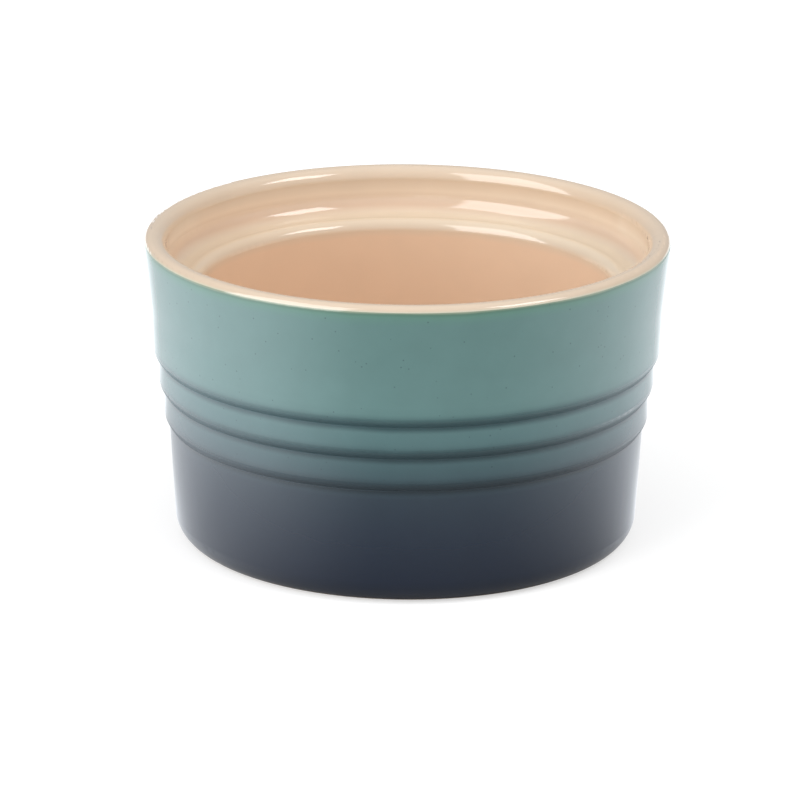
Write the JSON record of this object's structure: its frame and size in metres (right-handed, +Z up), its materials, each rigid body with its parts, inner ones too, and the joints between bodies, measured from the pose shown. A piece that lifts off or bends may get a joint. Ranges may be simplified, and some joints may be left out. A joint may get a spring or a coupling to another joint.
{
  "type": "ramekin",
  "caption": "Round glazed stoneware ramekin with a straight stepped outer wall, a stacking ledge inside the rim and a bare foot ring, for baking and serving single portions.",
  "frame": {"origin": "centre of the foot, on the plane that the dish rests on", "axes": "+Z up along the dish's axis; X and Y are alike, because the dish is round"},
  "size_m": [0.09, 0.09, 0.0536],
  "materials": {
    "stoneware": "bare fired buff clay, matt and slightly gritty, seen only on the foot ring",
    "outer_glaze": "gloss glaze that fades from muted teal at the rim to blue-black at the foot, with fine dark specks",
    "inner_glaze": "gloss almond glaze, paler where it thins over the rim",
    "base_glaze": "gloss blue-black glaze"
  },
  "bodies": {
    "root": {"stoneware_body": "stoneware", "outer_glaze": "outer_glaze", "inner_glaze": "inner_glaze", "base_glaze": "base_glaze"}
  },
  "joints": []
}
